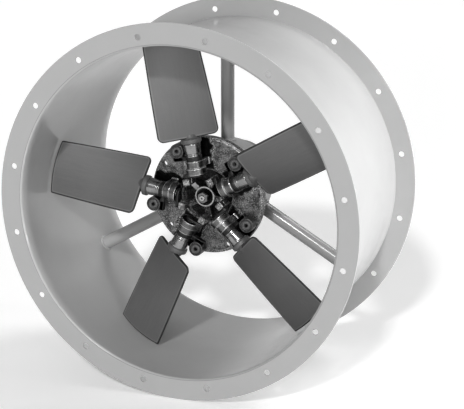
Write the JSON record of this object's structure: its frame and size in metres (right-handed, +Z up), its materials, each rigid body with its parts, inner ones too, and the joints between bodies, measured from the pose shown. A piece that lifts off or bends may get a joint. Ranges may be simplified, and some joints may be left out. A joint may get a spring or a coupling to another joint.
{
  "type": "inline duct fan",
  "caption": "Axial duct fan: a flanged round steel casing, a motor on tube struts and an impeller whose twisted blades change pitch together through a sliding spider.",
  "frame": {"origin": "on the floor under the middle of the casing: the lowest flats of the two flange rims are at z = 0, and the fan axis passes straight above the origin, halfway between the flanges", "axes": "+Y along the fan axis with the air flow, from the impeller side to the motor side; +Z up; +X to the right as seen from the impeller side"},
  "size_m": [0.7212, 0.369, 0.7211],
  "materials": {
    "grey_paint": "pale grey paint on rolled steel, satin",
    "motor_paint": "mid grey machine paint on cast aluminium",
    "blade_alloy": "dark cast aluminium with fine lengthwise grinding marks",
    "rough_cast": "dark rough casting with worn bright edges",
    "black_steel": "blackened steel, dull",
    "bright_steel": "bright turned steel",
    "copper_winding": "varnished copper wire",
    "black_plastic": "black moulded plastic"
  },
  "bodies": {
    "casing": {"casing": "grey_paint", "strut_top": "grey_paint", "strut_right": "grey_paint", "strut_left": "grey_paint", "motor_ring": "grey_paint", "motor_housing": "motor_paint", "front_end_shield": "motor_paint", "rear_end_shield": "motor_paint", "motor_bolt_1": "bright_steel", "motor_bolt_2": "bright_steel", "motor_bolt_3": "bright_steel", "stator_core": "black_steel", "front_winding": "copper_winding", "rear_winding": "copper_winding", "front_bearing": "bright_steel", "rear_bearing": "bright_steel", "terminal_box": "black_plastic", "terminal_box_lid": "black_plastic", "cable_gland": "black_plastic"},
    "impeller": {"motor_shaft": "bright_steel", "rotor_core": "black_steel", "shaft_key": "bright_steel", "hub_disc": "rough_cast", "hub_washer": "bright_steel", "hub_stud": "bright_steel", "stop_nut": "black_steel", "blade_bearing_1": "bright_steel", "blade_bearing_2": "bright_steel", "blade_bearing_3": "bright_steel", "blade_bearing_4": "bright_steel", "blade_bearing_5": "bright_steel"},
    "pitch_slider": {"pitch_spider": "rough_cast"},
    "blade_unit_1": {"blade_1": "blade_alloy", "thrust_collar_1": "bright_steel", "crank_1": "black_steel", "counterweight_arm_1": "black_steel", "counterweight_screw_1": "black_steel"},
    "blade_unit_2": {"blade_2": "blade_alloy", "thrust_collar_2": "bright_steel", "crank_2": "black_steel", "counterweight_arm_2": "black_steel", "counterweight_screw_2": "black_steel"},
    "blade_unit_3": {"blade_3": "blade_alloy", "thrust_collar_3": "bright_steel", "crank_3": "black_steel", "counterweight_arm_3": "black_steel", "counterweight_screw_3": "black_steel"},
    "blade_unit_4": {"blade_4": "blade_alloy", "thrust_collar_4": "bright_steel", "crank_4": "black_steel", "counterweight_arm_4": "black_steel", "counterweight_screw_4": "black_steel"},
    "blade_unit_5": {"blade_5": "blade_alloy", "thrust_collar_5": "bright_steel", "crank_5": "black_steel", "counterweight_arm_5": "black_steel", "counterweight_screw_5": "black_steel"}
  },
  "joints": [
    {"name": "impeller_spin", "type": "hinge", "parent": "casing", "child": "impeller", "pos_m": [0, -0.049, 0.36057], "axis": [0, 1, 0], "continuous": true},
    {"name": "pitch_slide", "type": "slide", "parent": "impeller", "child": "pitch_slider", "axis": [0, -1, 0], "range_m": [-0.0045, 0.0045]},
    {"name": "blade_pitch_1", "type": "hinge", "parent": "impeller", "child": "blade_unit_1", "pos_m": [0, -0.049, 0.36057], "axis": [-0.1736, 0, 0.9848], "range_deg": [-11.72, 11.72]},
    {"name": "blade_pitch_2", "type": "hinge", "parent": "impeller", "child": "blade_unit_2", "pos_m": [0, -0.049, 0.36057], "axis": [0.8829, 0, 0.4695], "range_deg": [-11.72, 11.72]},
    {"name": "blade_pitch_3", "type": "hinge", "parent": "impeller", "child": "blade_unit_3", "pos_m": [0, -0.049, 0.36057], "axis": [0.7193, 0, -0.6947], "range_deg": [-11.72, 11.72]},
    {"name": "blade_pitch_4", "type": "hinge", "parent": "impeller", "child": "blade_unit_4", "pos_m": [0, -0.049, 0.36057], "axis": [-0.4384, 0, -0.8988], "range_deg": [-11.72, 11.72]},
    {"name": "blade_pitch_5", "type": "hinge", "parent": "impeller", "child": "blade_unit_5", "pos_m": [0, -0.049, 0.36057], "axis": [-0.9903, 0, 0.1392], "range_deg": [-11.72, 11.72]}
  ],
  "couplings": [
    {"joint": "blade_pitch_1", "follows": "pitch_slide", "rad_per_m": 45.455},
    {"joint": "blade_pitch_2", "follows": "pitch_slide", "rad_per_m": 45.455},
    {"joint": "blade_pitch_3", "follows": "pitch_slide", "rad_per_m": 45.455},
    {"joint": "blade_pitch_4", "follows": "pitch_slide", "rad_per_m": 45.455},
    {"joint": "blade_pitch_5", "follows": "pitch_slide", "rad_per_m": 45.455}
  ]
}
